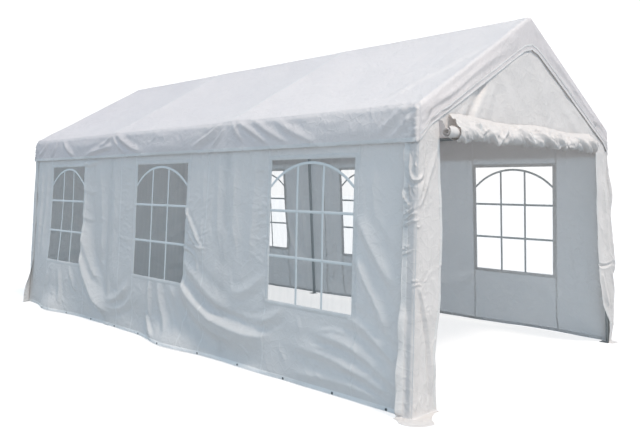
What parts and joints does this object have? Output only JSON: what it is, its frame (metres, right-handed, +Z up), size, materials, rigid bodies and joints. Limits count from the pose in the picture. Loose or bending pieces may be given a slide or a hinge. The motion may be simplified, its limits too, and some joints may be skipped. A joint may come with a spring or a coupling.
{
  "type": "marquee tent",
  "caption": "White party tent with ridge roof, splayed tube frame, valances, walls with clear arched-lattice windows and a rolled-up door in the front gable.",
  "frame": {"origin": "on the ground, at the middle of the footprint", "axes": "+Z up, +Y along the ridge from the open entrance gable to the closed back gable, +X across to the right as seen from the entrance"},
  "size_m": [3.3194, 6.3736, 2.8],
  "materials": {
    "galvanised_steel": "dull galvanised tube",
    "roof_cloth": "white coated tarpaulin, semi-gloss",
    "wall_cloth": "white coated tarpaulin, lighter grade, creased",
    "clear_sheet": "soft clear vinyl sheet with printed white bars"
  },
  "bodies": {
    "root": {"eave_connector_left_1": "galvanised_steel", "eave_connector_left_2": "galvanised_steel", "eave_connector_left_3": "galvanised_steel", "eave_connector_left_4": "galvanised_steel", "eave_connector_right_1": "galvanised_steel", "eave_connector_right_2": "galvanised_steel", "eave_connector_right_3": "galvanised_steel", "eave_connector_right_4": "galvanised_steel", "eave_rail_left_1": "galvanised_steel", "eave_rail_left_2": "galvanised_steel", "eave_rail_left_3": "galvanised_steel", "eave_rail_right_1": "galvanised_steel", "eave_rail_right_2": "galvanised_steel", "eave_rail_right_3": "galvanised_steel", "leg_left_1": "galvanised_steel", "leg_left_2": "galvanised_steel", "leg_left_3": "galvanised_steel", "leg_left_4": "galvanised_steel", "leg_right_1": "galvanised_steel", "leg_right_2": "galvanised_steel", "leg_right_3": "galvanised_steel", "leg_right_4": "galvanised_steel", "rafter_left_1": "galvanised_steel", "rafter_left_2": "galvanised_steel", "rafter_left_3": "galvanised_steel", "rafter_left_4": "galvanised_steel", "rafter_right_1": "galvanised_steel", "rafter_right_2": "galvanised_steel", "rafter_right_3": "galvanised_steel", "rafter_right_4": "galvanised_steel", "ridge_connector_1": "galvanised_steel", "ridge_connector_2": "galvanised_steel", "ridge_connector_3": "galvanised_steel", "ridge_connector_4": "galvanised_steel", "ridge_rail_1": "galvanised_steel", "ridge_rail_2": "galvanised_steel", "ridge_rail_3": "galvanised_steel", "roof_cover": "roof_cloth", "side_wall_left": "wall_cloth", "side_wall_right": "wall_cloth", "front_wall_left": "wall_cloth", "front_wall_right": "wall_cloth", "front_gable": "wall_cloth", "rolled_door": "wall_cloth", "back_wall": "wall_cloth", "window_left_1": "clear_sheet", "window_left_2": "clear_sheet", "window_left_3": "clear_sheet", "window_right_1": "clear_sheet", "window_right_2": "clear_sheet", "window_right_3": "clear_sheet"}
  },
  "joints": []
}
